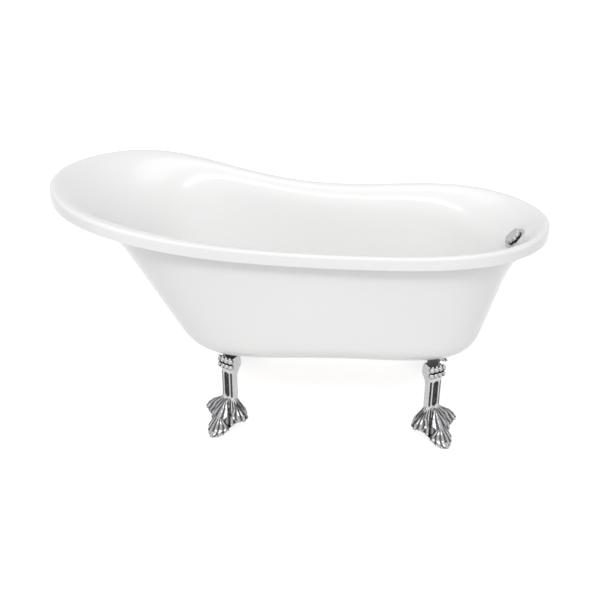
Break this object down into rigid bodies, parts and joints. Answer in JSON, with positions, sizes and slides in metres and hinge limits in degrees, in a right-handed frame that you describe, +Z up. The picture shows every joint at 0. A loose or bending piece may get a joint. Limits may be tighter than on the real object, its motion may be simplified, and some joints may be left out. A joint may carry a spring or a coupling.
{
  "type": "clawfoot bathtub",
  "caption": "Free-standing slipper bathtub with a raised head end, rolled rim, ornate cast claw legs, pop-up drain waste and a cable overflow knob.",
  "frame": {"origin": "on the floor, under the middle of the rim's length and width", "axes": "+X towards the low foot end with the overflow, +Y towards the rear side, +Z up"},
  "size_m": [1.4999, 0.724, 0.768],
  "materials": {
    "white_acrylic": "high gloss",
    "chrome": "polished",
    "spacer_plastic": "matte",
    "plywood": "raw",
    "frame_steel": "powder coat",
    "zinc_steel": "zinc plated",
    "pad_rubber": "matte",
    "seal_rubber": "matte",
    "pipe_plastic": "satin",
    "cable_sheath": "satin"
  },
  "bodies": {
    "bath": {"basin_shell": "white_acrylic", "outer_shell": "white_acrylic", "leg_head_front": "chrome", "leg_head_rear": "chrome", "leg_foot_front": "chrome", "leg_foot_rear": "chrome", "overflow_plate": "chrome", "drain_flange": "chrome", "tail_pipe": "chrome", "tail_nut": "chrome", "spacer_head_front": "spacer_plastic", "spacer_head_rear": "spacer_plastic", "spacer_foot_front": "spacer_plastic", "spacer_foot_rear": "spacer_plastic", "base_board": "plywood", "side_rail_front": "frame_steel", "side_rail_rear": "frame_steel", "cross_rail_head": "frame_steel", "cross_rail_middle": "frame_steel", "rail_screws": "zinc_steel", "leg_bolts": "zinc_steel", "leg_washers": "zinc_steel", "rail_nuts": "zinc_steel", "lever_pin": "zinc_steel", "floor_pad_head_front": "pad_rubber", "floor_pad_head_rear": "pad_rubber", "floor_pad_foot_front": "pad_rubber", "floor_pad_foot_rear": "pad_rubber", "drain_seal": "seal_rubber", "shoe_seal": "seal_rubber", "overflow_seal": "seal_rubber", "waste_body": "pipe_plastic", "overflow_channel": "pipe_plastic", "overflow_pipe": "pipe_plastic", "upper_pipe_nut": "pipe_plastic", "lower_pipe_nut": "pipe_plastic", "control_cable": "cable_sheath"},
    "knob": {"overflow_knob": "chrome", "knob_spindle": "zinc_steel"},
    "stopper": {"stopper_cap": "chrome", "stopper_stem": "zinc_steel", "stopper_seal": "seal_rubber"},
    "lever": {"lift_lever": "pipe_plastic"}
  },
  "joints": [
    {"name": "knob_turn", "type": "hinge", "parent": "bath", "child": "knob", "pos_m": [0.65955, 0, 0.596], "axis": [-0.7502, 0, 0.6612], "range_deg": [0, 90]},
    {"name": "stopper_lift", "type": "slide", "parent": "bath", "child": "stopper", "axis": [0, 0, 1], "range_m": [0, 0.01]},
    {"name": "lever_turn", "type": "hinge", "parent": "bath", "child": "lever", "pos_m": [0.389, 0, 0.2649], "axis": [0, 1, 0], "range_deg": [0, 29]}
  ],
  "couplings": [
    {"joint": "stopper_lift", "follows": "knob_turn", "m_per_rad": 0.006366},
    {"joint": "lever_turn", "follows": "knob_turn", "ratio": 0.32222}
  ]
}
